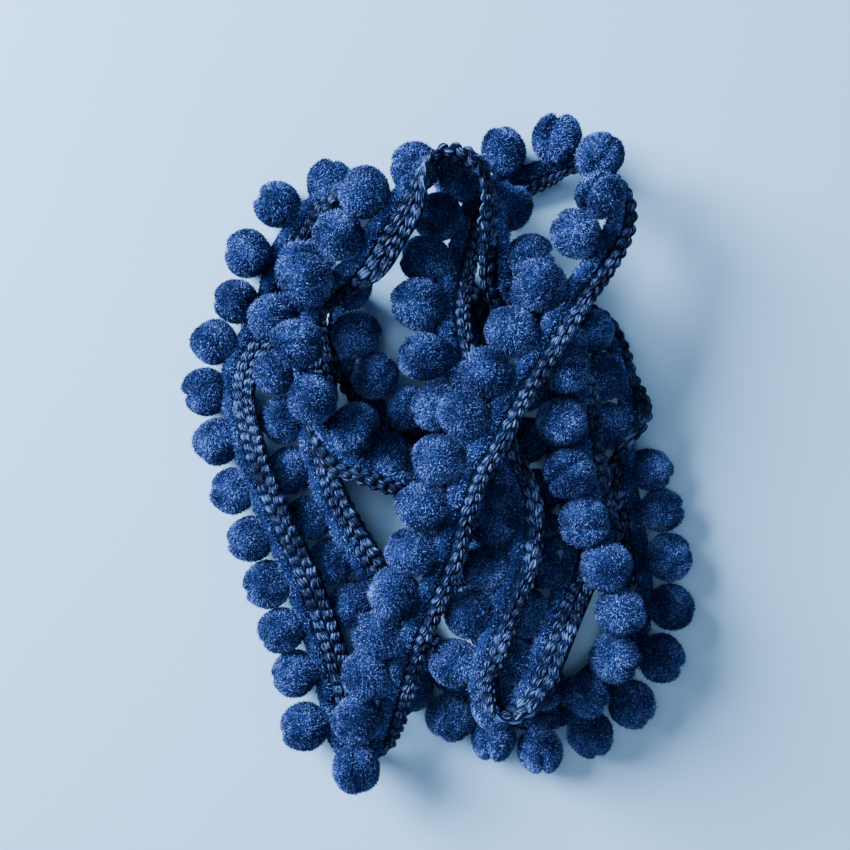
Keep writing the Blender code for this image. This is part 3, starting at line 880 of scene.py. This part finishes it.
def yarn(name, looks, filaments=False):
    """Dyed yarn: flecks of light and dark at the size of its fibres, with a soft sheen and a fibre bump. Its
    darker copies for the pile's roots and the tape's ground are painted shade.
    """
    dark, middle, light, grain, rough, bump, sheen = looks
    material = bpy.data.materials.new(name)
    material.use_nodes = True
    tree = material.node_tree
    shader = tree.nodes["Principled BSDF"]
    shader.inputs["Roughness"].default_value = rough
    shader.inputs["Sheen Weight"].default_value = sheen
    shader.inputs["Sheen Roughness"].default_value = SHEEN_ROUGH
    shader.inputs["Sheen Tint"].default_value = (*SHEEN_TINT, 1)
    shader.inputs["Specular IOR Level"].default_value = YARN_SPECULAR
    place = node(tree, "ShaderNodeTexCoord")
    fleck = node(tree, "ShaderNodeTexNoise", Scale=grain, Detail=3.0, Roughness=0.65)
    broad = node(tree, "ShaderNodeTexNoise", Scale=BROAD_SCALE, Detail=1.0)
    if filaments:
        streak = node(tree, "ShaderNodeMapping", Scale=STREAK_STRETCH, Rotation=STREAK_TURN)
        tree.links.new(place.outputs["UV"], streak.inputs["Vector"])
        tree.links.new(streak.outputs["Vector"], fleck.inputs["Vector"])
    else:
        tree.links.new(place.outputs["Object"], fleck.inputs["Vector"])
    tree.links.new(place.outputs["Object"], broad.inputs["Vector"])
    both = node(tree, "ShaderNodeMath", operation="MULTIPLY_ADD")
    both.inputs[1].default_value = BROAD_SHARE
    tree.links.new(broad.outputs["Fac"], both.inputs[0])
    tree.links.new(fleck.outputs["Fac"], both.inputs[2])
    ramp = node(tree, "ShaderNodeValToRGB")
    stops = ramp.color_ramp.elements
    stops[0].position, stops[0].color = YARN_STOPS[0], (*dark, 1)
    stops[1].position, stops[1].color = YARN_STOPS[2], (*light, 1)
    between = stops.new(YARN_STOPS[1])
    between.color = (*middle, 1)
    tree.links.new(both.outputs[0], ramp.inputs["Fac"])
    tree.links.new(ramp.outputs["Color"], shader.inputs["Base Color"])
    lift = node(tree, "ShaderNodeBump", Strength=bump, Distance=FIBRE_BUMP)
    tree.links.new(fleck.outputs["Fac"], lift.inputs["Height"])
    if filaments:
        stretch = node(tree, "ShaderNodeMapping", Scale=STRAND_STRETCH, Rotation=STRAND_TURN)
        ply = node(tree, "ShaderNodeTexWave", Scale=STRAND_SCALE, Distortion=1.5, Detail=1.0)
        tree.links.new(place.outputs["UV"], stretch.inputs["Vector"])
        tree.links.new(stretch.outputs["Vector"], ply.inputs["Vector"])
        strands = node(tree, "ShaderNodeBump", Strength=0.8, Distance=STRAND_BUMP)
        tree.links.new(ply.outputs["Fac"], strands.inputs["Height"])
        tree.links.new(strands.outputs["Normal"], lift.inputs["Normal"])
    tree.links.new(lift.outputs["Normal"], shader.inputs["Normal"])
    return material


def plain(name, colour, rough):
    """A plain paint, for the floor alone."""
    material = bpy.data.materials.new(name)
    material.use_nodes = True
    shader = material.node_tree.nodes["Principled BSDF"]
    shader.inputs["Base Color"].default_value = (*colour, 1)
    shader.inputs["Roughness"].default_value = rough
    return material


# Stage


def stage(move):
    """The floor, the lights, the light of the room, and the camera, which looks straight down."""
    mesh = bpy.data.meshes.new("floor")
    corners = [(x * FLOOR_HALF, y * FLOOR_HALF, 0) for x, y in ((-1, -1), (1, -1), (1, 1), (-1, 1))]
    mesh.from_pydata(corners, [], [(0, 1, 2, 3)])
    mesh.materials.append(plain("floor_paint", FLOOR_COLOUR, FLOOR_ROUGH))
    floor = link("floor", mesh)
    for name, spot, size, power in LIGHTS:
        data = bpy.data.lights.new(name, "AREA")
        data.energy = power
        data.size = size
        data.color = LIGHT_COLOUR
        light = link(name, data)
        light.location = spot
        light.rotation_euler = (-Vector(spot)).to_track_quat("-Z", "Y").to_euler()
    world = bpy.data.worlds.new("room")
    world.use_nodes = True
    world.node_tree.nodes["Background"].inputs["Color"].default_value = (*ROOM_COLOUR, 1)
    world.node_tree.nodes["Background"].inputs["Strength"].default_value = ROOM_STRENGTH
    bpy.context.scene.world = world
    data = bpy.data.cameras.new("overhead")
    data.sensor_width = CAMERA_SENSOR
    data.lens = CAMERA_LENS
    data.clip_start = CAMERA_NEAREST
    camera = link("overhead", data)
    camera.location = (move[0] * MM, move[1] * MM, CAMERA_HIGH)
    bpy.context.scene.camera = camera


def main():
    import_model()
    route = Route()
    # The solids were centred after they were made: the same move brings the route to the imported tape
    low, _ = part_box("tape")
    move = np.array(low) / MM - route.tape_points().min(axis=0)
    move[2] = 0.0
    line = FineLine(route)
    line.move = move

    pile_light = yarn("pompom_pile", PILE_YARN)
    # The pile's yarn darkened into painted shade, for the pompoms' balls and the chenille core
    pile_painted_shade = yarn("pompom_roots_painted_shade", ROOT_PAINTED_SHADE)
    tape_yarn = yarn("tape_yarn", STITCH_YARN, filaments=True)
    # The tape's ground in painted shade, dark where it shows between the stitches
    ground_painted_shade = yarn("tape_ground_painted_shade", GROUND_PAINTED_SHADE)

    rooted = route.pompom_lengths()
    which = np.round(np.interp(rooted, route.length, route.passes)).astype(int)
    place, ahead, out, up = route.read(rooted)
    centres = place + POMPOM_OUT * out
    sizes = pompom_sizes(centres, ahead, out, up)
    frames = (centres + move, ahead, out, np.interp(rooted, route.length, route.fold))
    template = ball_template()

    tape_pieces = [
        ground(line, ground_painted_shade),
        stitches(line, "stitches_upper", (0, 1), tape_yarn, SEED_UPPER),
        stitches(line, "stitches_lower", (2, 3), tape_yarn, SEED_LOWER),
    ]
    for piece in tape_pieces:
        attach(piece, "root")
        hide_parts("tape")
    # The core of the chenille edge takes the same painted shade as the pompoms' balls
    edge_pieces = [edge_core(line, rooted, pile_painted_shade), edge_pile(line, rooted, pile_light)]
    for number, (name, _, _, _) in enumerate(PASSES):
        piece_name = "pompoms_" + name + "_show"
        made = pompom_pass(piece_name, number, which, frames, sizes, template, (pile_painted_shade, pile_light))
        for piece in made:
            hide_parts("pompoms_" + name)
        edge_pieces += made
    for piece in edge_pieces:
        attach(piece, "root")
    stage(move)


main()
